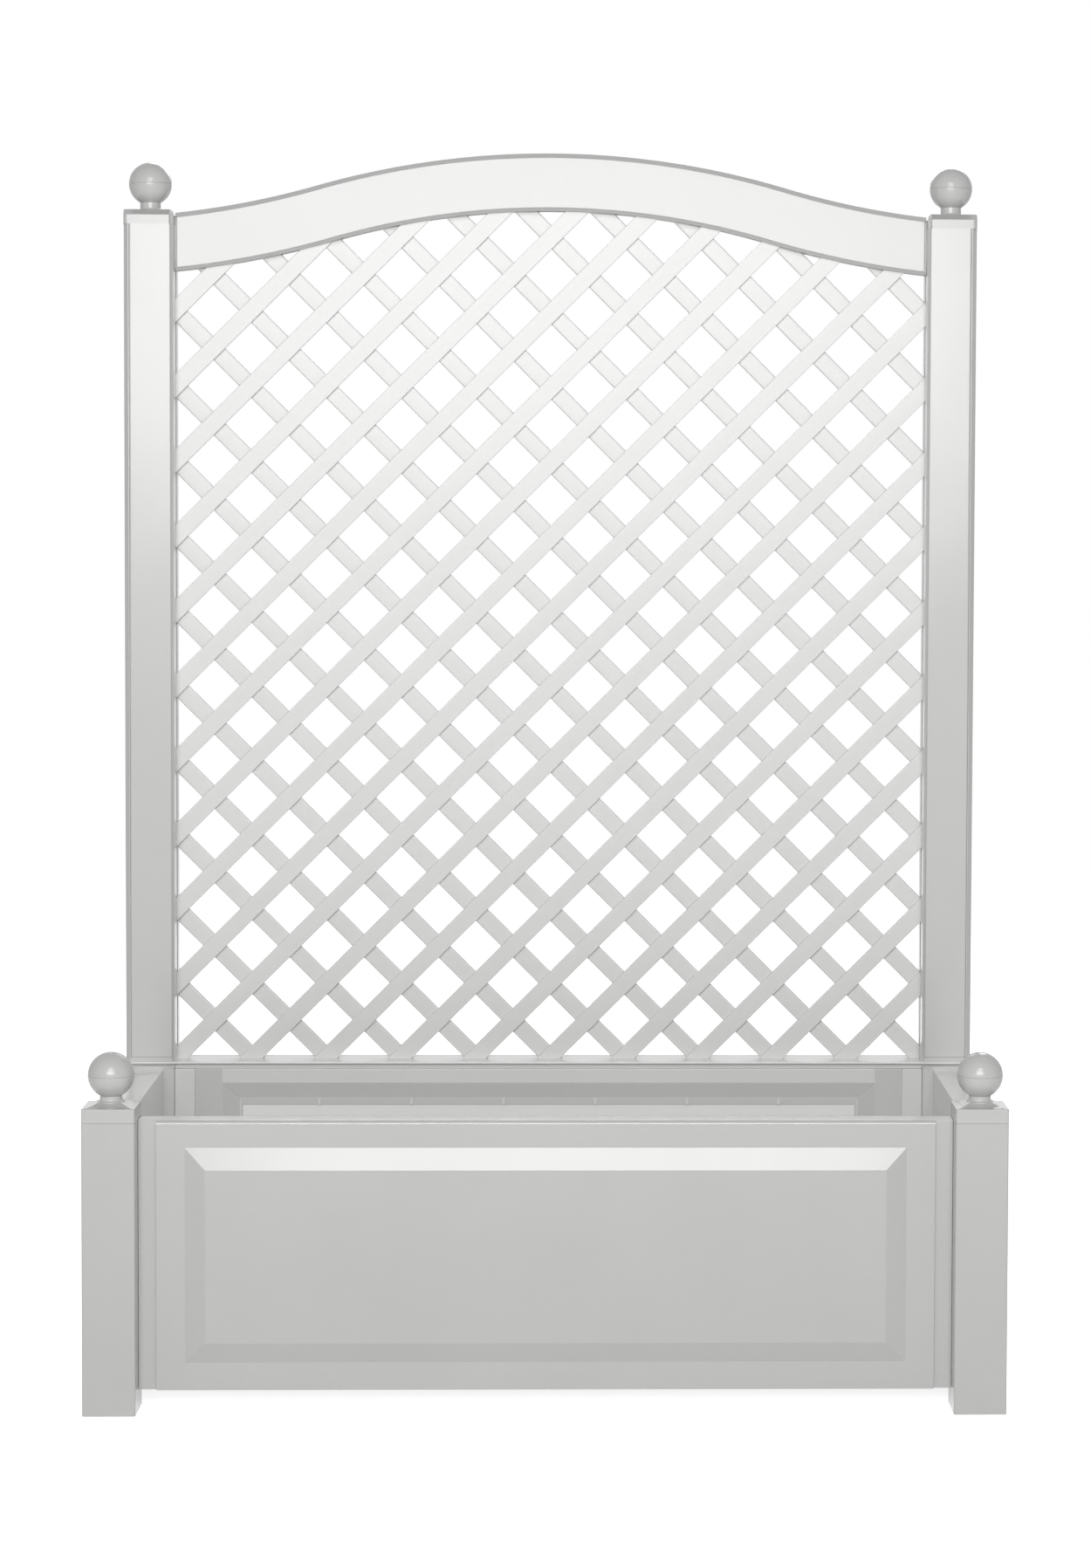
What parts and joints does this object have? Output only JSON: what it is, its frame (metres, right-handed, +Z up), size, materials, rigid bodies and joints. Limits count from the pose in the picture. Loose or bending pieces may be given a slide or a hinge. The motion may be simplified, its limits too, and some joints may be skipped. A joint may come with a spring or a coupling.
{
  "type": "planter with trellis",
  "caption": "Rectangular plastic planter box on square legs with ball finials and raised-field panels, with an arched lattice trellis standing on its rear legs.",
  "frame": {"origin": "on the floor under the middle of the planter's outline", "axes": "+Z up along the trellis, +X along the box to the right as seen from the front, the front faces -Y"},
  "size_m": [1, 0.43, 1.3999],
  "materials": {
    "box_plastic": "white polypropylene, satin moulded",
    "inner_plastic": "white polypropylene, plain moulded inside",
    "trellis_plastic": "white polypropylene, satin moulded",
    "finial_plastic": "white polypropylene, polished mould"
  },
  "bodies": {
    "root": {"arch_cover": "trellis_plastic", "arch_rail": "trellis_plastic", "ball_lower_front_left": "finial_plastic", "ball_lower_front_right": "finial_plastic", "ball_lower_trellis_left": "finial_plastic", "ball_lower_trellis_right": "finial_plastic", "ball_upper_front_left": "finial_plastic", "ball_upper_front_right": "finial_plastic", "ball_upper_trellis_left": "finial_plastic", "ball_upper_trellis_right": "finial_plastic", "cap_front_left": "finial_plastic", "cap_front_right": "finial_plastic", "cap_trellis_left": "finial_plastic", "cap_trellis_right": "finial_plastic", "floor_left": "inner_plastic", "floor_right": "inner_plastic", "front_liner": "inner_plastic", "front_panel": "box_plastic", "lattice": "trellis_plastic", "left_liner": "inner_plastic", "left_panel": "box_plastic", "leg_front_left": "box_plastic", "leg_front_right": "box_plastic", "leg_rear_left": "box_plastic", "leg_rear_right": "box_plastic", "post_cover_left": "trellis_plastic", "post_cover_right": "trellis_plastic", "rear_liner": "inner_plastic", "rear_panel": "box_plastic", "right_liner": "inner_plastic", "right_panel": "box_plastic", "trellis_base_rail": "trellis_plastic", "trellis_post_left": "trellis_plastic", "trellis_post_right": "trellis_plastic"}
  },
  "joints": []
}
